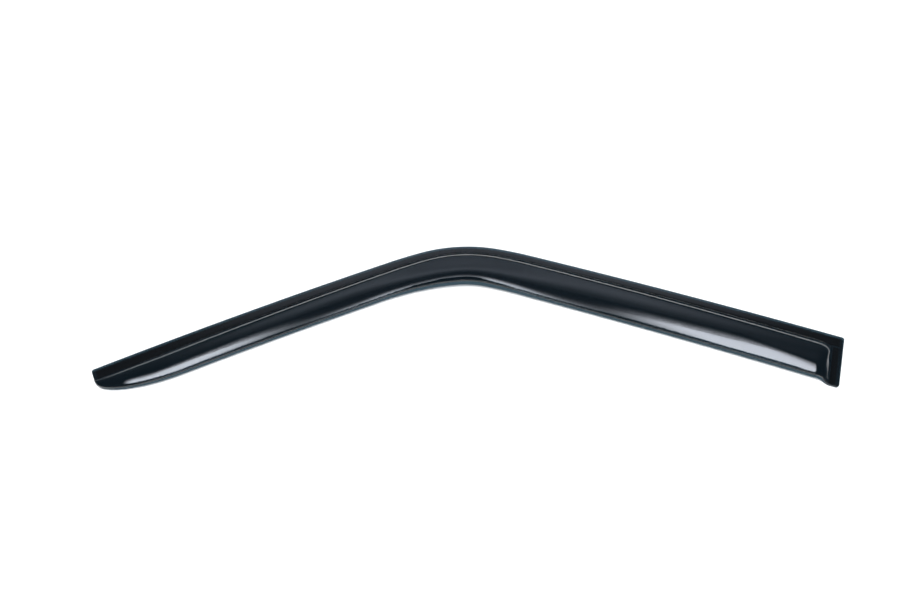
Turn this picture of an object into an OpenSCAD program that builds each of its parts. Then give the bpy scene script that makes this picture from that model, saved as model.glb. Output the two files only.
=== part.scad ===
// Stick-on rain deflector for a car's front side window: one thin moulded shell of smoked
// acrylic, and the two strips of foam tape that hold it to the door frame.
// It lies on its back as it would rest, taped flange down and outer face up.
//
// The rail is the shell's outer edge seen from above. It starts at the thin tip, runs along
// the thin arm, round the bend and along the roof arm to the rear corner. A place on the shell
// is given as s, the distance along the rail, and u, the distance in from it.

/* [Outline] */
// Length of the thin arm along the rail, from the tip to the bend
thin_arm_l = 363.5; // [250:0.5:500]
// Radius of the thin arm's slight bow
thin_arm_r = 5850; // [3000:50:20000]
// Radius of the rail in the middle of the bend
bend_r = 166; // [140:1:260]
// Angle that the rail turns through on that radius
bend_angle = 33.5; // [20:0.5:50]
// Radius of the easier curve that leads into the bend and out of it
ease_r = 450; // [300:10:900]
// Length of that easier curve on each side
ease_l = 41; // [20:1:80]
// Length of the roof arm along the rail, from the bend to the rear corner
roof_arm_l = 375; // [250:1:550]
// Radius of the roof arm's slight bow
roof_arm_r = 7900; // [3000:50:20000]
// Width from the rail to the free edge that the thin arm's taper starts from
tip_w = 47; // [40:0.5:56]
// Width from the rail to the free edge at the rear, which is also the tab's length
rear_w = 70.5; // [62:0.5:80]
// Width that the shell gains on its way round the bend, beyond its even taper
bend_flare = 4.5; // [0:0.5:8]
// Length over which the tip closes to a point, like a boat's bow
bow_l = 70; // [40:1:110]

/* [Section] */
// Thickness of the moulded sheet
wall = 2.5; // [1.8:0.1:3.2]
// Width of the flat flange along the rail
flange_w = 15; // [13.5:0.5:20]
// Width of the riser between flange and crest, seen from above
riser_w = 6.5; // [4:0.1:8]
// Height that the riser lifts the crest above the flange
riser_h = 6.9; // [4:0.1:9]
// Slope of the body just inside the crest, in degrees
crown_slope = 16; // [8:1:28]
// Slope that the bend adds to that, in degrees
bend_slope = 8; // [0:1:12]
// Slope of the body down to the free edge, in degrees
edge_slope = 42; // [25:1:48]
// Height of the free edge's top above the surface that the tape sticks to
edge_h = 10; // [8:0.5:14]
// Height that the free edge gains on the roof arm, ahead of the rear wall
rear_lift = 4.2; // [0:0.2:6]
// Length over which the free edge rises by that and falls again
rear_lift_l = 300; // [200:5:340]

/* [Rear end] */
// Width of the flat tab behind the rear wall
tab_w = 9.5; // [8:0.5:15]
// Width of the rear wall, from the tab up to its crest, seen from above
rear_wall_w = 10.5; // [7:0.5:14]
// Height that the body loses as it rounds over towards that crest
rear_roll = 1.6; // [0:0.1:2.5]
// Length over which it does so
rear_roll_l = 10; // [6:0.5:20]
// Corner radius of the shell's own edge, at the rear corner, the tab's end and the tip
edge_corner_r = 3; // [1:0.5:5]
// Radius of the foot of the riser where it turns the rear corner
foot_corner_r = 14; // [8:0.5:18]
// Radius of the crest where it turns the rear corner
crest_corner_r = 8; // [5:0.5:12]

/* [Tape] */
// Thickness of the double-sided foam tape
tape_t = 1.1; // [0.8:0.1:2]
// Width of the long strip under the flange
long_tape_w = 10; // [6:0.5:10.5]
// Width of the short strip under the tab
tab_tape_w = 6; // [4:0.5:6]
// Distance that both strips keep from the shell's edge
tape_inset = 2.5; // [1.5:0.5:3]
// Gap between the end of the long strip and the short strip
tape_gap = 4; // [2:0.5:10]

/* [Hidden] */

smoke = [0.12, 0.15, 0.18];
foam = [0.16, 0.16, 0.16];

flange_top = tape_t + wall;
bend_l = bend_r * bend_angle * PI / 180;
// The whole turn, with its easier curves, and its middle
turn_l = bend_l + 2 * ease_l;
turn_mid = thin_arm_l + turn_l / 2;
rail_l = thin_arm_l + turn_l + roof_arm_l;
crest_e = tab_w + rear_wall_w;
// Share of the full section that the blunt nose keeps, and how full the bow is behind it
nose = 0.08;
bow_power = 0.6;
// The free edge is highest in the middle of this stretch, which runs on past the rear corner
lift_start = rail_l - 0.92 * rear_lift_l;

// Grid of the shell: stations in each stretch of the rail, and rows across it
bow_steps = 11;
thin_steps = 11;
turn_steps = 16;
roof_steps = 9;
rear_steps = 9;
corner_steps = 7;
tab_steps = 9;
riser_rows = 6;
body_rows = 11;
// The stations fan out from the corner over this last length of the roof arm
fan_l = 150;

function lerp(a, b, t) = a + (b - a) * t;
function smooth(t) = let (c = max(0, min(1, t))) c * c * (3 - 2 * c);

// Place and heading after a right-hand arc of length l from place p and heading a
function arc_end(p, a, r, l) = let (b = a - l / r * 180 / PI)
    [p + r * [sin(a) - sin(b), cos(b) - cos(a)], b];

stretches = [[thin_arm_l, thin_arm_r], [ease_l, ease_r], [bend_l, bend_r],
    [ease_l, ease_r], [roof_arm_l, roof_arm_r]];

function rail(s, k = 0, p = [0, 0], a = 0) = let (l = stretches[k][0], r = stretches[k][1])
    s <= l || k == len(stretches) - 1 ? arc_end(p, a, r, s) :
    let (next = arc_end(p, a, r, l)) rail(s - l, k + 1, next[0], next[1]);

rail_end = rail(rail_l)[0];
chord_angle = atan2(rail_end.y, rail_end.x);

// Plan position of the place [s, u], with the chord from tip to rear corner along X
function plan(p) = let (f = rail(p[0]), q = f[0] + p[1] * [sin(f[1]), -cos(f[1])])
    [q.x * cos(chord_angle) + q.y * sin(chord_angle),
     q.y * cos(chord_angle) - q.x * sin(chord_angle)];

// Share of the full section at s: it grows from the nose to 1 over the bow
function bow(s) = s >= bow_l ? 1 :
    nose + (1 - nose) * pow(1 - pow(1 - s / bow_l, 2), bow_power);
function full_w(s) = lerp(tip_w, rear_w - bend_flare, s / rail_l)
    + bend_flare * smooth((s - thin_arm_l) / (bend_l + ease_l));
function crest_u(s) = flange_w + bow(s) * riser_w;
function crest_z(s) = flange_top + bow(s) * riser_h;
function edge_u(s) = lerp(flange_w, full_w(s), bow(s));
function edge_z(s) = lerp(flange_top, edge_h, bow(s))
    + (s < lift_start ? 0 : rear_lift * pow(sin(180 * (s - lift_start) / rear_lift_l), 2));
function crown(s) = tan(crown_slope + bend_slope * pow(cos(90 * min(1, abs(s - turn_mid) / turn_l)), 2));

// Height of the body at a place, on one cubic across it from the crest to the free edge, and
// its slopes along s and u. At the rear it rounds over towards the crest of the rear wall.
function body(p) =
    let (s = p[0], w = edge_u(s) - crest_u(s), v = (p[1] - crest_u(s)) / w,
         z0 = crest_z(s), z1 = edge_z(s), m0 = crown(s), m1 = -tan(edge_slope),
         t = max(0, 1 - (rail_l - crest_e - s) / rear_roll_l),
         share = smooth((p[1] - crest_u(s)) / (2 * crest_corner_r)))
    [z0 + (z1 - z0) * v * v * (3 - 2 * v) + w * v * (1 - v) * (m0 * (1 - v) - m1 * v)
        - rear_roll * t * t * share,
     [-2 * rear_roll * t / rear_roll_l * share,
      (z1 - z0) / w * 6 * v * (1 - v) + m0 * (1 - v) * (1 - 3 * v) + m1 * v * (3 * v - 2)]];

// Stations are numbered along the rail: arm stations, corner stations, tab stations
arm_end = rail_l - crest_e - crest_corner_r;
fan_start = rail_l - fan_l;
roof_start = thin_arm_l + turn_l;
arm_s = [
    for (k = [0:bow_steps]) bow_l * pow(k / bow_steps, 2),
    for (k = [1:thin_steps]) lerp(bow_l, thin_arm_l, k / thin_steps),
    for (k = [1:turn_steps]) lerp(thin_arm_l, roof_start, k / turn_steps),
    for (k = [1:roof_steps]) lerp(roof_start, fan_start, k / roof_steps),
    for (k = [1:rear_steps]) lerp(fan_start, arm_end, k / rear_steps)
];
arm_n = len(arm_s);
last = arm_n - 1 + corner_steps + tab_steps;

// Share of the tab's length at station i: the stations close up towards its rounded end
function tab_share(i) = 1 - pow(1 - (i - arm_n - corner_steps + 1) / tab_steps, 1.7);

// Place of station i on a line that keeps a from the rail and e from the rear edge, and
// turns the corner on the radius r
function on_line(i, a, e, r) =
    i < arm_n ? [fan_start < arm_s[i]
        ? lerp(fan_start, rail_l - e - r, (arm_s[i] - fan_start) / (arm_end - fan_start))
        : arm_s[i], a] :
    i < arm_n + corner_steps ? let (t = 90 * (i - arm_n + 1) / corner_steps)
        [rail_l - e - r + r * sin(t), a + r - r * cos(t)] :
    [rail_l - e, lerp(a + r, rear_w, tab_share(i))];

// Direction across the lines at station i, towards the body
function inward(i) = let (t = 90 * max(0, min(1, (i - arm_n + 1) / corner_steps))) [-sin(t), cos(t)];
function bow_at(i) = i < arm_n ? bow(arm_s[i]) : 1;
function riser_place(i, q) = on_line(i, flange_w + q * riser_w * bow_at(i),
    tab_w + q * rear_wall_w, lerp(foot_corner_r, crest_corner_r, q));

// The shell's own edge, with its corners rounded at the tip and at the tab's end
function round_in(d) = d < edge_corner_r
    ? edge_corner_r - sqrt(pow(edge_corner_r, 2) - pow(edge_corner_r - d, 2)) : 0;
function rim_place(i) =
    let (p = on_line(i, 0, 0, edge_corner_r))
    i < arm_n ? [p[0], round_in(p[0])] : [p[0] - round_in(rear_w - p[1]), p[1]];

// Length along the crest to station i, and the place on the free edge that it leads to
crest_len = arm_end + crest_corner_r * PI / 2 + rear_w - crest_u(rail_l) - crest_corner_r;
function crest_run(i) =
    i < arm_n ? arm_s[i] :
    i < arm_n + corner_steps ? arm_end + crest_corner_r * PI / 2 * (i - arm_n + 1) / corner_steps :
    lerp(arm_end + crest_corner_r * PI / 2, crest_len, tab_share(i));
free_end = rail_l - crest_e - crest_corner_r;
function free_place(i) =
    let (t = crest_run(i),
         s = t < fan_start ? t : lerp(fan_start, free_end, (t - fan_start) / (crest_len - fan_start)))
    [s, edge_u(s)];

// A point of the outer face, and the one under it on the inner face. Where the face slopes,
// the inner one is also moved across, which keeps the sheet's thickness.
function across(slope) = wall * tan(atan(slope) / 2);
function pair(p, z, shift) = let (a = plan(p), b = plan(p + shift))
    [[a.x, a.y, z], [b.x, b.y, z - wall]];

function shell_pair(i, j) =
    j == 0 ? pair(rim_place(i), flange_top, [0, 0]) :
    j <= riser_rows + 1 ?
        let (q = (j - 1) / riser_rows, c = riser_place(i, 1), n = inward(i),
             run = norm(c - riser_place(i, 0)), top = body(c),
             h = top[0] - flange_top, m = top[1] * n * run,
             z = flange_top + h * q * q * (3 - 2 * q) + m * q * q * (q - 1),
             slope = (h * 6 * q * (1 - q) + m * q * (3 * q - 2)) / run,
             settle = [across(top[1][0]), across(top[1][1])] - across(m / run) * n)
        pair(riser_place(i, q), z, across(slope) * n + q * q * settle) :
    let (p = lerp(riser_place(i, 1), free_place(i), (j - riser_rows - 1) / body_rows), top = body(p))
    pair(p, top[0], [across(top[1][0]), across(top[1][1])]);

rows = riser_rows + body_rows + 2;
shell_grid = [for (i = [0:last]) for (j = [0:rows - 1]) shell_pair(i, j)];
shell_points = concat([for (p = shell_grid) p[0]], [for (p = shell_grid) p[1]]);
// The origin is under the middle of the shell's box
middle = [for (k = [0, 1]) let (v = [for (p = shell_points) p[k]]) (min(v) + max(v)) / 2];

module on_origin() {
    translate([-middle.x, -middle.y, 0]) children();
}

module visor() {
    under = len(shell_grid);
    rim = [
        for (i = [0:last]) i * rows,
        for (j = [1:rows - 1]) last * rows + j,
        for (i = [last - 1:-1:0]) i * rows + rows - 1,
        for (j = [rows - 2:-1:1]) j
    ];
    faces = [
        for (i = [0:last - 1]) for (j = [0:rows - 2])
            let (a = i * rows + j, b = a + rows)
            each [[a, b, b + 1], [a, b + 1, a + 1],
                  [under + b + 1, under + b, under + a], [under + a + 1, under + b + 1, under + a]],
        for (k = [0:len(rim) - 1])
            let (a = rim[k], b = rim[(k + 1) % len(rim)])
            each [[b, a, under + a], [b, under + a, under + b]]
    ];
    color(smoke) on_origin() polyhedron(shell_points, faces);
}

// Strip of tape whose outline is a list of places [s, u]
module tape(outline) {
    color(foam) on_origin() linear_extrude(tape_t) polygon([for (p = outline) plan(p)]);
}

module flange_tape() {
    stations = [
        tape_inset,
        for (s = arm_s) if (s > bow_l && s < fan_start) s,
        rail_l - tape_inset
    ];
    tape(concat(
        [for (s = stations) [s, tape_inset]],
        [for (k = [len(stations) - 1:-1:0]) [stations[k], tape_inset + long_tape_w]]
    ));
}

module tab_tape() {
    s1 = rail_l - tape_inset;
    s0 = s1 - tab_tape_w;
    u0 = tape_inset + long_tape_w + tape_gap;
    u1 = rear_w - tape_inset;
    tape([[s0, u0], [s1, u0], [s1, u1], [s0, u1]]);
}

visor();
flange_tape();
tab_tape();
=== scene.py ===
# Stick-on rain deflector for a car's front side window, lying outer face up on white studio paper
import math

import bmesh
import bpy
from mathutils import Matrix, Vector


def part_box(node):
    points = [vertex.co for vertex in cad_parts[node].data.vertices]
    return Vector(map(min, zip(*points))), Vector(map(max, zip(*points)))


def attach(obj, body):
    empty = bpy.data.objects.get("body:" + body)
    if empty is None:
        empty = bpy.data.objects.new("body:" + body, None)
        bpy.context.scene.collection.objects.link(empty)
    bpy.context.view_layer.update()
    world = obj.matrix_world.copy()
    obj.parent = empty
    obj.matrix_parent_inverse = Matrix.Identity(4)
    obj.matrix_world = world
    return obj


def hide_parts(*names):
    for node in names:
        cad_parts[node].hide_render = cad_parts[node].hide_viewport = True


mm = 0.001
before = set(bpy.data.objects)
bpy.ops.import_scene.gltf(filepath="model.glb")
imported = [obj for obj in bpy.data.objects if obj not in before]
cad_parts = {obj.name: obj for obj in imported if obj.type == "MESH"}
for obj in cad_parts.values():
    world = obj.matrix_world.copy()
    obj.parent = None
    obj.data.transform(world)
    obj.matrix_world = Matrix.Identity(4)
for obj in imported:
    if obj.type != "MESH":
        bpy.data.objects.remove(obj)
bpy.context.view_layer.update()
print("frame loaded:", ", ".join(sorted(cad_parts)))


def linear(hexColour):
    parts = [int(hexColour[k:k + 2], 16) / 255 for k in (1, 3, 5)]
    return [c / 12.92 if c <= 0.04045 else ((c + 0.055) / 1.055) ** 2.4 for c in parts] + [1]


def addNode(tree, kind, inputs=None, **attributes):
    node = tree.nodes.new(kind)
    for name, value in attributes.items():
        setattr(node, name, value)
    for name, value in (inputs or {}).items():
        if isinstance(value, bpy.types.Node):  # a node stands for its first output
            value = value.outputs[0]
        if isinstance(value, bpy.types.NodeSocket):
            tree.links.new(value, node.inputs[name])
        else:
            node.inputs[name].default_value = value
    return node


def newMaterial(name):
    material = bpy.data.materials.new(name)
    material.use_nodes = True
    material.node_tree.nodes.clear()
    return material, material.node_tree


def newPiece(name, bm, material):
    mesh = bpy.data.meshes.new(name)
    bm.to_mesh(mesh)
    bm.free()
    mesh.materials.append(material)
    for face in mesh.polygons:
        face.use_smooth = True
    piece = bpy.data.objects.new(name, mesh)
    bpy.context.scene.collection.objects.link(piece)
    return piece


# The visor. A place on it is given in mm as s, the distance along the rail from the tip, and u,
# the distance in from the rail, which is the shell's outer edge. The rail is the solid's own, the
# section across it is finer than the solid's. Slopes are in degrees.
visorSize = {
    "stretches": [(365, 5850), (41, 450), (97.06, 166), (41, 450), (376.5, 7900)],  # length, radius
    "tipW": 52, "rearW": 69.5, "bendFlare": 8.5, "flareL": 110,
    "bowL": 90, "nose": 0.06,  # the tip's sweep, and how wide it starts
    "wall": 2.5, "tapeT": 1.1,
    "flangeW": 9.0, "waistPast": 104, "flangeSpread": 7,  # at its narrowest, which is past the bend
    "riserSlope": 31, "tipRiserH": 10.5, "rearRiserH": 14.5,
    "brinkSlope": 38, "crestL": 7, "crestMost": 0.45,  # the crest takes this much of the riser at most
    "crownSlope": 2, "edgeSlope": 30, "bendSlope": 9, "edgeH": 9.5, "bendLift": 4,
    "lipR": 2.3, "lipMost": 0.6,
    "tabW": 11, "tabL": 72.5, "tabEase": 1.7, "rearWallW": 8, "rearRoll": 2, "rearRollL": 10,
    "fanL": 150,  # the stations spread over this length so that they meet the rear end squarely
    "edgeCornerR": 3, "footCornerR": 14, "crestCornerR": 8,
}
visorGrid = {
    "bow": 22, "thin": 26, "turn": 34, "roof": 22, "rear": 22, "corner": 16, "tab": 18,
    "flangeRows": 4, "riserRows": 14, "crestRows": 10, "bodyRows": 26, "lipRows": 8,
    "creaseAngle": 0.5, "rimBevel": 0.5, "rimSegments": 3,
}


def lerp(a, b, t):
    return a + (b - a) * t


def smooth(t):
    t = max(0, min(1, t))
    return t * t * (3 - 2 * t)


class Shell:
    def __init__(self, size, grid):
        self.__dict__.update(size)
        self.grid = grid
        self.thinL = self.stretches[0][0]
        self.turnL = sum(length for length, radius in self.stretches[1:4])
        self.railL = sum(length for length, radius in self.stretches)
        self.turnMid = self.thinL + self.turnL / 2
        self.flangeTop = self.tapeT + self.wall
        self.crestE = self.tabW + self.rearWallW
        self.armEnd = self.railL - self.crestE - self.crestCornerR
        self.fanStart = self.railL - self.fanL
        self.flareStart = self.thinL + (self.stretches[1][0] - self.flareL) / 2
        end = self.rail(self.railL)[0]
        self.chord = Matrix.Rotation(-math.atan2(end.y, end.x), 2)
        self.layStations()

    # Place and heading on the rail, arc after arc
    def rail(self, s):
        p, heading = Vector((0, 0)), 0
        for k, (length, radius) in enumerate(self.stretches):
            last = k == len(self.stretches) - 1
            run = s if last else min(s, length)
            turned = heading - run / radius
            across = math.sin(heading) - math.sin(turned)
            up = math.cos(turned) - math.cos(heading)
            p = p + radius * Vector((across, up))
            heading, s = turned, s - run
            if s <= 0:
                break
        return p, heading

    def plan(self, s, u):
        p, heading = self.rail(s)
        return self.chord @ (p + u * Vector((math.sin(heading), -math.cos(heading))))

    # How far the swept tip has opened at s, up to 1
    def bow(self, s):
        if s >= self.bowL:
            return 1
        return self.nose + (1 - self.nose) * math.sqrt(1 - (1 - s / self.bowL) ** 2)

    def fullW(self, s):
        flare = self.bendFlare * smooth((s - self.flareStart) / self.flareL)
        return lerp(self.tipW, self.rearW - self.bendFlare, s / self.railL) + flare

    def riserH(self, s):
        return self.bow(s) * lerp(self.tipRiserH, self.rearRiserH, s / self.railL)

    def riserW(self, s):
        return self.riserH(s) / math.tan(math.radians(self.riserSlope))

    def crestU(self, s):
        return self.footU(s) + self.riserW(s)

    def footU(self, s):
        return self.flangeW + self.flangeSpread * (s / (self.turnMid + self.waistPast) - 1) ** 2

    def edgeU(self, s):
        return lerp(self.footU(s), self.fullW(s), self.bow(s))

    def edgeZ(self, s):
        return lerp(self.flangeTop, self.edgeH, self.bow(s)) + self.bendLift * self.bend(s)

    # 1 in the middle of the bend, 0 on the arms
    def bend(self, s):
        return math.cos(math.pi / 2 * min(1, abs(s - self.turnMid) / self.turnL)) ** 2

    # Height of the body, and its slopes along s and u
    def body(self, s, u):
        crestU, crestZ, edgeZ = self.crestU(s), self.flangeTop + self.riserH(s), self.edgeZ(s)
        w = self.edgeU(s) - crestU
        v = (u - crestU) / w
        m0 = math.tan(math.radians(self.crownSlope))
        m1 = -math.tan(math.radians(self.edgeSlope + self.bendSlope * self.bend(s)))
        t = max(0, 1 - (self.railL - self.crestE - s) / self.rearRollL)
        share = smooth((u - crestU) / (2 * self.crestCornerR))
        z = crestZ + (edgeZ - crestZ) * v * v * (3 - 2 * v) + w * v * (1 - v) * (m0 * (1 - v) - m1 * v)
        return (z - self.rearRoll * t * t * share,
                -2 * self.rearRoll * t / self.rearRollL * share,
                (edgeZ - crestZ) / w * 6 * v * (1 - v) + m0 * (1 - v) * (1 - 3 * v) + m1 * v * (3 * v - 2))

    def layStations(self):
        g = self.grid
        roofStart = self.thinL + self.turnL
        self.arm = [self.bowL * (k / g["bow"]) ** 2 for k in range(g["bow"] + 1)]
        for start, end, count in [
                (self.bowL, self.thinL, g["thin"]), (self.thinL, roofStart, g["turn"]),
                (roofStart, self.fanStart, g["roof"]), (self.fanStart, self.armEnd, g["rear"])]:
            self.arm += [lerp(start, end, k / count) for k in range(1, count + 1)]
        self.armN = len(self.arm)
        self.columns = self.armN + g["corner"] + g["tab"]
        self.rowsN = g["flangeRows"] + g["riserRows"] + g["crestRows"] + g["bodyRows"] + g["lipRows"] + 1

    def tabShare(self, i):
        return 1 - (1 - (i - self.armN - self.grid["corner"] + 1) / self.grid["tab"]) ** self.tabEase

    # Place of station i on the line that keeps a from the rail and e from the rear edge
    def onLine(self, i, a, e, r):
        if i < self.armN:
            s = self.arm[i]
            if s > self.fanStart:
                share = (s - self.fanStart) / (self.armEnd - self.fanStart)
                s = lerp(self.fanStart, self.railL - e - r, share)
            return Vector((s, a))
        if i < self.armN + self.grid["corner"]:
            t = math.pi / 2 * (i - self.armN + 1) / self.grid["corner"]
            return Vector((self.railL - e - r + r * math.sin(t), a + r - r * math.cos(t)))
        end = lerp(self.tabL, self.rearW, max(0, e - self.tabW) / self.rearWallW)
        return Vector((self.railL - e, lerp(a + r, end, self.tabShare(i))))

    def inward(self, i):
        t = math.pi / 2 * max(0, min(1, (i - self.armN + 1) / self.grid["corner"]))
        return Vector((-math.sin(t), math.cos(t)))

    def riserPlace(self, i, q):
        s = self.arm[i] if i < self.armN else self.railL
        return self.onLine(i, self.footU(s) + q * self.riserW(s), self.tabW + q * self.rearWallW,
                           lerp(self.footCornerR, self.crestCornerR, q))

    def roundIn(self, d):
        r = self.edgeCornerR
        return r - math.sqrt(r * r - (r - d) ** 2) if d < r else 0

    def rimPlace(self, i):
        p = self.onLine(i, 0, 0, self.edgeCornerR)
        if i < self.armN:
            return Vector((p.x, self.roundIn(p.x)))
        return Vector((p.x - self.roundIn(self.tabL - p.y), p.y))

    def freePlace(self, i):
        corner = self.crestCornerR * math.pi / 2
        crestLen = self.armEnd + corner + self.rearW - self.crestU(self.railL) - self.crestCornerR
        if i < self.armN:
            run = self.arm[i]
        elif i < self.armN + self.grid["corner"]:
            run = self.armEnd + corner * (i - self.armN + 1) / self.grid["corner"]
        else:
            run = lerp(self.armEnd + corner, crestLen, self.tabShare(i))
        s = run
        if run > self.fanStart:
            s = lerp(self.fanStart, self.armEnd, (run - self.fanStart) / (crestLen - self.fanStart))
        return Vector((s, self.edgeU(s)))

    # Level shift of the inner face that keeps the wall even on a slope
    def across(self, slope):
        return self.wall * math.tan(math.atan(slope) / 2)

    def pair(self, p, z, shift):
        a, b = self.plan(*p), self.plan(*(p + shift))
        return Vector((a.x, a.y, z)), Vector((b.x, b.y, z - self.wall))

    # Outer and inner point of the sheet at station i and row j
    def point(self, i, j):
        g = self.grid
        if j < g["flangeRows"]:
            p = self.rimPlace(i).lerp(self.riserPlace(i, 0), j / g["flangeRows"])
            return self.pair(p, self.flangeTop, Vector((0, 0)))
        j -= g["flangeRows"]
        if j <= g["riserRows"] + g["crestRows"]:
            return self.riserPoint(i, j)
        return self.bodyPoint(i, j - g["riserRows"] - g["crestRows"])

    # The body runs down to the free edge, whose upper corner is rounded and whose face is upright
    def bodyPoint(self, i, j):
        start, end = self.riserPlace(i, 1), self.freePlace(i)
        z, slopeS, slopeU = self.body(*end)
        low = z - self.wall * math.sqrt(1 + slopeS ** 2 + slopeU ** 2)
        lean = math.atan(-slopeU)
        span = (end - start).length
        radius = min(self.lipR, self.lipMost * span)
        inset = radius * (1 - math.sin(lean))
        share = min(1, j / self.grid["bodyRows"]) * (1 - inset / span)
        p = start.lerp(end, share)
        z, slopeS, slopeU = self.body(*p)
        outer, inner = self.pair(p, z, Vector((self.across(slopeS), self.across(slopeU))))
        q = (j - self.grid["bodyRows"]) / self.grid["lipRows"]
        if q <= 0:
            return outer, inner
        angle = lerp(lean, math.pi / 2, q)
        p = start.lerp(end, 1 - radius * (1 - math.sin(angle)) / span)
        lip = self.pair(p, z - radius * (math.cos(lean) - math.cos(angle)), Vector((0, 0)))[0]
        edge = self.pair(end, low, Vector((0, 0)))[0]
        return lip, inner.lerp(edge, q)

    # The riser climbs on a cubic to its brink, and rounds over from there into the body
    def riserPoint(self, i, j):
        rows, crestRows = self.grid["riserRows"], self.grid["crestRows"]
        c, n = self.riserPlace(i, 1), self.inward(i)
        run = (c - self.riserPlace(i, 0)).length
        top, slopeS, slopeU = self.body(*c)
        crestL = min(self.crestL, self.crestMost * run)
        brinkL = run - crestL
        d = brinkL * j / rows if j <= rows else brinkL + crestL * (j - rows) / crestRows
        m0, m1 = math.tan(math.radians(self.brinkSlope)), slopeS * n.x + slopeU * n.y
        brinkH = top - self.flangeTop - crestL * (m0 + m1) / 2
        if d <= brinkL:
            q = d / brinkL
            z = brinkH * q * q * (3 - 2 * q) + m0 * brinkL * q * q * (q - 1)
            slope = brinkH / brinkL * 6 * q * (1 - q) + m0 * q * (3 * q - 2)
        else:
            q = (d - brinkL) / crestL
            z = brinkH + crestL * (m0 * q + (m1 - m0) * q * q / 2)
            slope = lerp(m0, m1, q)
        settle = Vector((self.across(slopeS), self.across(slopeU))) - self.across(m1) * n
        q = d / run
        return self.pair(self.riserPlace(i, q), self.flangeTop + z, self.across(slope) * n + q * q * settle)


def buildVisor(material):
    shell = Shell(visorSize, visorGrid)
    points = {(i, j): shell.point(i, j) for i in range(shell.columns) for j in range(shell.rowsN)}
    flat = [p for pair in points.values() for p in pair]
    lows = [min(p[k] for p in flat) for k in (0, 1)]
    highs = [max(p[k] for p in flat) for k in (0, 1)]
    # The outer edge lies on the solid's: the same middle along X, the same highest point of the bend
    solidLow, solidHigh = [Vector(corner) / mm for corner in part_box("visor")]
    centre = Vector(((lows[0] + highs[0]) / 2 - (solidLow.x + solidHigh.x) / 2, highs[1] - solidHigh.y, 0))

    # A flat grid for the outer face is doubled for the inner one, and both are laid on the form
    bm = bmesh.new()
    bmesh.ops.create_grid(bm, x_segments=shell.columns - 1, y_segments=shell.rowsN - 1, size=0.5)
    twin = bmesh.ops.duplicate(bm, geom=bm.verts[:] + bm.edges[:] + bm.faces[:])
    inner = [e for e in twin["geom"] if isinstance(e, bmesh.types.BMVert)]
    innerFaces = [e for e in twin["geom"] if isinstance(e, bmesh.types.BMFace)]
    innerSet = set(inner)
    for v in bm.verts:
        i = round((v.co.x + 0.5) * (shell.columns - 1))
        j = round((v.co.y + 0.5) * (shell.rowsN - 1))
        v.co = (points[i, j][1 if v in innerSet else 0] - centre) * mm
    bmesh.ops.reverse_faces(bm, faces=[f for f in bm.faces if f not in set(innerFaces)])
    rim = bmesh.ops.bridge_loops(bm, edges=[e for e in bm.edges if e.is_boundary])
    rimFaces = set(rim["faces"])
    lips = [e for e in bm.edges if len(rimFaces.intersection(e.link_faces)) == 1
            and e.calc_face_angle(0) > visorGrid["creaseAngle"]]
    bmesh.ops.bevel(bm, geom=lips, offset=visorGrid["rimBevel"] * mm, segments=visorGrid["rimSegments"],
                    profile=0.5, affect="EDGES", material=-1)
    bmesh.ops.recalc_face_normals(bm, faces=bm.faces)
    print("visor:", len(bm.verts), "vertices,", len(bm.faces), "faces")
    return newPiece("smokedVisor", bm, material)


# Smoked acrylic (PMMA), vacuum formed: a hard, mirror-like skin over a dark, faintly teal sheet
# that lets a little light through. The skin has the slow ripple of a formed sheet.
acrylicLook = {
    "body": "#07090b", "through": "#74858d", "roughness": 0.035, "ior": 1.49,
    "rippleMm": 38, "rippleBump": 0.012,
}


def smokedAcrylic():
    look = acrylicLook
    material, tree = newMaterial("smokedAcrylicPolished")
    coords = addNode(tree, "ShaderNodeTexCoord")
    ripple = addNode(tree, "ShaderNodeTexNoise", {
        "Vector": coords.outputs["Object"], "Scale": 1 / (look["rippleMm"] * mm), "Detail": 1.0})
    bump = addNode(tree, "ShaderNodeBump", {
        "Height": ripple.outputs["Fac"], "Strength": 1.0, "Distance": look["rippleBump"] * mm})
    skin = addNode(tree, "ShaderNodeBsdfPrincipled", {
        "Base Color": linear(look["body"]), "Roughness": look["roughness"], "IOR": look["ior"],
        "Normal": bump})
    tint = addNode(tree, "ShaderNodeBsdfTransparent", {"Color": linear(look["through"])})
    both = addNode(tree, "ShaderNodeAddShader", {0: skin, 1: tint})
    addNode(tree, "ShaderNodeOutputMaterial", {"Surface": both})
    return material


# Double-sided acrylic foam tape: matt, dark, with fine closed cells
tapeLook = {"foam": "#1b1c1d", "cell": "#2a2b2c", "cellMm": 0.6, "roughness": 0.85}


def foamTape():
    look = tapeLook
    material, tree = newMaterial("acrylicFoamTape")
    coords = addNode(tree, "ShaderNodeTexCoord")
    cells = addNode(tree, "ShaderNodeTexVoronoi", {
        "Vector": coords.outputs["Object"], "Scale": 1 / (look["cellMm"] * mm)})
    shade = addNode(tree, "ShaderNodeMix", {
        "Factor": cells.outputs["Distance"], "A": linear(look["foam"]), "B": linear(look["cell"])},
        data_type="RGBA")
    skin = addNode(tree, "ShaderNodeBsdfPrincipled", {
        "Base Color": shade.outputs["Result"], "Roughness": look["roughness"]})
    addNode(tree, "ShaderNodeOutputMaterial", {"Surface": skin})
    return material


acrylic = smokedAcrylic()
tape = foamTape()
visor = buildVisor(acrylic)
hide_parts("visor")
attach(visor, "root")
for name in ("flange_tape", "tab_tape"):
    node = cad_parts[name]
    node.data.materials.clear()
    node.data.materials.append(tape)
print("visor and tapes dressed")

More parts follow.
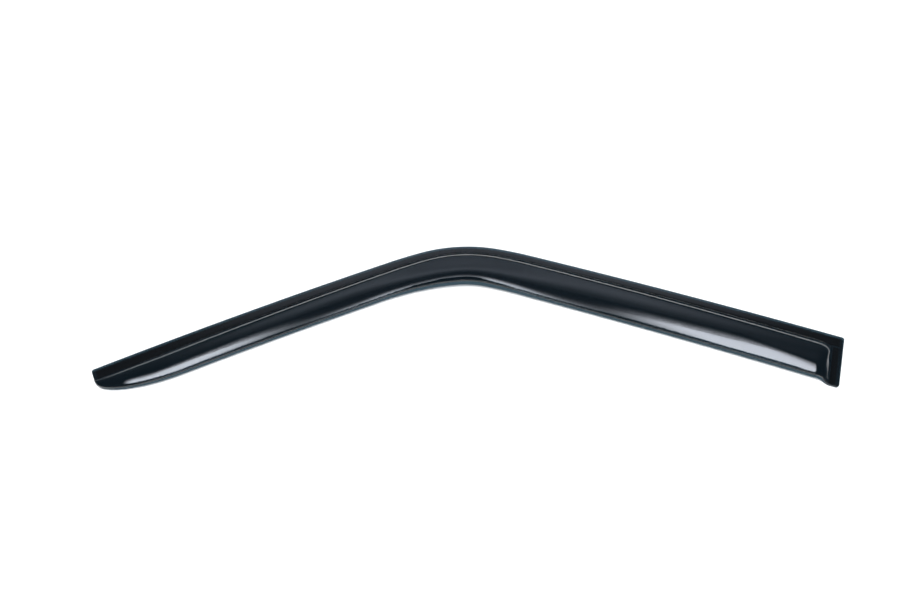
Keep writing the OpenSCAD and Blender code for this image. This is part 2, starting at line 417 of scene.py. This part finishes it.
# Studio: white paper, a white reflector hung behind the part, two lamps behind a diffusing cloth
# above it, and a soft key light from the front that lights the paper and leaves no reflection
studio = {"paperSize": 14, "paper": "#f4f5f6", "air": "#c9d4e4", "airStrength": 0.045}
reflector = {
    "z": 1.0, "x": (-1.6, 1.6), "y": (-0.05, 2.5), "colour": "#e6efff",
    "stops": [(-0.05, 0.1), (0.1, 0.24), (0.38, 0.26), (0.46, 0.38), (0.60, 0.78), (0.75, 1.08),
              (0.95, 0.92), (1.25, 0.64), (2.05, 0.60), (2.45, 0.0)],  # place along y, brightness
    "sideMiddle": 0.12, "sideStart": 0.3, "sideEnd": 0.95, "sideShare": 0.12,
}
lamps = {
    "z": 1.0, "x": (-0.84, 0.58), "y": (-0.52, 0.30), "colour": "#f1f5ff", "strength": 15,
    "softEdge": (0.28, -0.12), "softPower": 2.0,  # the light fades in from here towards the front
    "middleShift": 0.17, "middleReach": 0.3, "leftShift": 0.2, "leftReach": (-0.3, -0.6),
    "middleShare": 0.2, "middleEnd": 0.02, "sideStart": 0.28,
    "leftEnd": (-0.83, -0.68), "rightEnd": (0.56, 0.45), "nearEnd": (-0.46, -0.44),
}
keyLight = {"elevation": 82, "spread": 34, "strength": 4.6}


def sheetMaterial(name):
    material, tree = newMaterial(name)
    coords = addNode(tree, "ShaderNodeTexCoord")
    place = addNode(tree, "ShaderNodeSeparateXYZ", {"Vector": coords.outputs["Object"]})
    return material, tree, place.outputs["X"], place.outputs["Y"]


# A level sheet that only shows as a light in the acrylic
def hangSheet(name, spec, material, tree, strength):
    light = addNode(tree, "ShaderNodeEmission", {"Color": linear(spec["colour"]), "Strength": strength})
    addNode(tree, "ShaderNodeOutputMaterial", {"Surface": light})
    bm = bmesh.new()
    bmesh.ops.create_grid(bm, x_segments=1, y_segments=1, size=0.5)
    (x0, x1), (y0, y1) = spec["x"], spec["y"]
    bmesh.ops.scale(bm, vec=(x1 - x0, y1 - y0, 1), verts=bm.verts)
    bmesh.ops.translate(bm, vec=((x0 + x1) / 2, (y0 + y1) / 2, spec["z"]), verts=bm.verts)
    sheet = newPiece(name, bm, material)
    sheet.visible_camera = False
    sheet.visible_diffuse = False
    sheet.visible_shadow = False


# Brightness follows the stops along y and falls off to both sides
def buildReflector():
    material, tree, x, y = sheetMaterial("reflectorCloth")
    y0, y1 = reflector["y"]
    along = addNode(tree, "ShaderNodeMapRange", {"Value": y, "From Min": y0, "From Max": y1})
    ramp = addNode(tree, "ShaderNodeValToRGB", {"Fac": along})
    stops = ramp.color_ramp.elements
    peak = max(value for place, value in reflector["stops"])
    for k, (place, value) in enumerate(reflector["stops"]):
        share = (place - y0) / (y1 - y0)
        stop = stops[0] if k == 0 else stops.new(share)
        stop.position = share
        stop.color = [value / peak] * 3 + [1]
    stops.remove(stops[len(stops) - 1])
    fromMiddle = addNode(tree, "ShaderNodeMath", {0: x, 1: reflector["sideMiddle"]}, operation="SUBTRACT")
    aside = addNode(tree, "ShaderNodeMath", {0: fromMiddle}, operation="ABSOLUTE")
    side = addNode(tree, "ShaderNodeMapRange", {
        "Value": aside, "From Min": reflector["sideStart"], "From Max": reflector["sideEnd"],
        "To Min": peak, "To Max": peak * reflector["sideShare"]}, interpolation_type="SMOOTHSTEP")
    strength = addNode(tree, "ShaderNodeMath", {0: ramp, 1: side}, operation="MULTIPLY")
    hangSheet("reflector", reflector, material, tree, strength)


# Two bright patches, left and right, with a dim and narrow middle between them
def buildLamps():
    material, tree, x, y = sheetMaterial("lampCloth")
    aside = addNode(tree, "ShaderNodeMath", {0: x}, operation="ABSOLUTE")
    fades = {}
    for name, value, start, end, low, high in [
            ("middle", aside, 0, lamps["middleReach"], lamps["middleShift"], 0),
            ("left", x, *lamps["leftReach"], 0, lamps["leftShift"]),
            ("leftEnd", x, *lamps["leftEnd"], 0, 1),
            ("rightEnd", x, *lamps["rightEnd"], 0, 1),
            ("level", aside, lamps["middleEnd"], lamps["sideStart"],
             lamps["middleShare"] * lamps["strength"], lamps["strength"])]:
        fades[name] = addNode(tree, "ShaderNodeMapRange", {
            "Value": value, "From Min": start, "From Max": end, "To Min": low, "To Max": high},
            interpolation_type="SMOOTHSTEP")
    back = addNode(tree, "ShaderNodeMath", {0: fades["middle"], 1: fades["left"]}, operation="ADD")
    shifted = addNode(tree, "ShaderNodeMath", {0: y, 1: back}, operation="ADD")
    edge = addNode(tree, "ShaderNodeMapRange", {
        "Value": shifted, "From Min": lamps["softEdge"][0], "From Max": lamps["softEdge"][1]},
        interpolation_type="SMOOTHSTEP")
    strength = addNode(tree, "ShaderNodeMath", {0: edge, 1: lamps["softPower"]}, operation="POWER")
    fromNear = addNode(tree, "ShaderNodeMath", {0: y, 1: fades["middle"]}, operation="SUBTRACT")
    near = addNode(tree, "ShaderNodeMapRange", {
        "Value": fromNear, "From Min": lamps["nearEnd"][0], "From Max": lamps["nearEnd"][1]},
        interpolation_type="SMOOTHSTEP")
    for factor in (fades["leftEnd"], fades["rightEnd"], near, fades["level"]):
        strength = addNode(tree, "ShaderNodeMath", {0: strength, 1: factor}, operation="MULTIPLY")
    hangSheet("lampCloth", lamps, material, tree, strength)


def buildStudio():
    paper, tree = newMaterial("studioPaper")
    skin = addNode(tree, "ShaderNodeBsdfDiffuse", {"Color": linear(studio["paper"])})
    addNode(tree, "ShaderNodeOutputMaterial", {"Surface": skin})
    bm = bmesh.new()
    bmesh.ops.create_grid(bm, x_segments=1, y_segments=1, size=studio["paperSize"] / 2)
    floor = newPiece("studioFloor", bm, paper)
    buildReflector()
    buildLamps()
    sun = bpy.data.lights.new("keyLight", "SUN")
    sun.energy = keyLight["strength"]
    sun.angle = math.radians(keyLight["spread"])
    key = bpy.data.objects.new("keyLight", sun)
    key.rotation_euler = (math.radians(90 - keyLight["elevation"]), 0, 0)
    key.visible_glossy = False
    bpy.context.scene.collection.objects.link(key)
    world = bpy.data.worlds.new("studioAir")
    world.use_nodes = True
    back = world.node_tree.nodes["Background"]
    back.inputs["Color"].default_value = linear(studio["air"])
    back.inputs["Strength"].default_value = studio["airStrength"]
    bpy.context.scene.world = world
    bpy.context.scene.view_settings.view_transform = "Standard"


buildStudio()
print("studio set")

camera = {
    "place": (-0.0441, -0.5883, 0.7323), "turn": (39.75, 0, -3.039), "lens": 31.304, "sensor": 36,
    "clipStart": 0.01,
}
eye = bpy.data.objects.new("camera", bpy.data.cameras.new("camera"))
eye.location = camera["place"]
eye.rotation_euler = [math.radians(a) for a in camera["turn"]]
eye.data.lens = camera["lens"]
eye.data.sensor_width = camera["sensor"]
eye.data.clip_start = camera["clipStart"]
bpy.context.scene.collection.objects.link(eye)
bpy.context.scene.camera = eye
